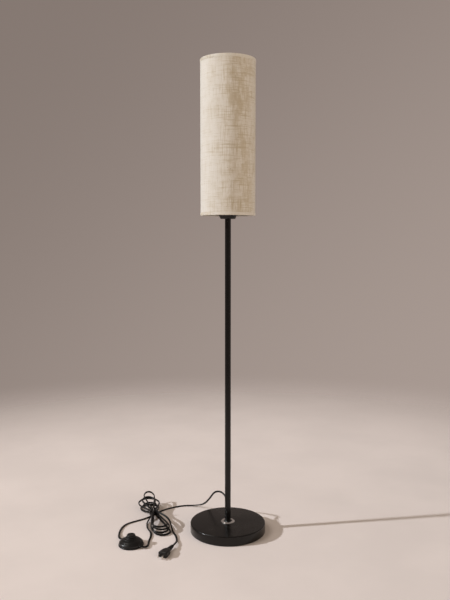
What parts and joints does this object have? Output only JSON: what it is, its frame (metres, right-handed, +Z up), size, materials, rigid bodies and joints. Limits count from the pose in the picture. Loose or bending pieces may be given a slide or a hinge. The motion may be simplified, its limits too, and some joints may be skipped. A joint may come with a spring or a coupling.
{
  "type": "column floor lamp",
  "caption": "Floor lamp with a slim black pole on a round weighted base, a tall linen column shade, and a mains lead with a foot switch, a tied hank and a plug.",
  "frame": {"origin": "centre of the base on the floor", "axes": "+Z up along the pole, -Y towards the viewer, +X to the viewer's right; the mains lead lies on the -X side"},
  "size_m": [0.4491, 0.4267, 1.416],
  "materials": {
    "black_paint": "satin black powder coat",
    "cast_iron": "rough grey casting",
    "zinc": "zinc plated steel",
    "foam_pad": "dense black foam pad",
    "chrome_trim": "polished chrome",
    "black_plastic": "satin moulded plastic",
    "cord_jacket": "soft satin cord jacket",
    "holder_plastic": "heat resistant moulding",
    "screw_shell": "pressed sheet",
    "brass_contact": "plain brass",
    "frame_wire": "white painted wire",
    "liner": "white styrene sheet",
    "linen": "natural linen weave",
    "bulb_white": "white moulding",
    "bulb_diffuser": "frosted dome",
    "spring_steel": "spring wire",
    "blade_metal": "nickel plated brass"
  },
  "bodies": {
    "lamp": {"base_cover": "black_paint", "base_weight": "cast_iron", "base_plate": "zinc", "base_pad": "foam_pad", "base_bolt": "zinc", "base_washer": "zinc", "foot_ring": "chrome_trim", "foot_collar": "black_plastic", "pole_lower": "black_paint", "pole_middle": "black_paint", "pole_upper": "black_paint", "pole_inserts": "zinc", "pole_nipples": "zinc", "cord_sleeve": "black_plastic", "inner_cord": "cord_jacket", "socket_cup": "black_paint", "cup_nut": "zinc", "socket_body": "holder_plastic", "socket_shell": "screw_shell", "socket_contact": "brass_contact", "socket_terminals": "brass_contact", "shade_nut": "holder_plastic", "shade_spider": "frame_wire", "shade_ring_bottom": "frame_wire", "shade_ring_top": "frame_wire", "shade_liner": "liner", "shade_fabric": "linen", "shade_hem_bottom": "linen", "shade_hem_top": "linen", "bulb_tip": "screw_shell", "bulb_cap": "screw_shell", "bulb_housing": "bulb_white", "bulb_globe": "bulb_diffuser", "switch_base": "black_plastic", "switch_cover": "black_plastic", "switch_contacts": "brass_contact", "switch_spring": "spring_steel", "switch_screws": "zinc", "switch_pad": "foam_pad", "switch_bushings": "cord_jacket", "plug_body": "cord_jacket", "plug_blades": "blade_metal", "cord_to_switch": "cord_jacket", "cord_to_hank": "cord_jacket", "cord_hank": "cord_jacket", "cord_to_plug": "cord_jacket", "hank_tie": "black_plastic"},
    "button": {"switch_button": "black_plastic", "switch_contact_ring": "brass_contact"}
  },
  "joints": [
    {"name": "button_press", "type": "slide", "parent": "lamp", "child": "button", "axis": [0, 0, -1], "range_m": [0, 0.003], "stiffness_N_per_m": 300, "springref_m": -0.004, "deforming": ["switch_spring"]}
  ]
}
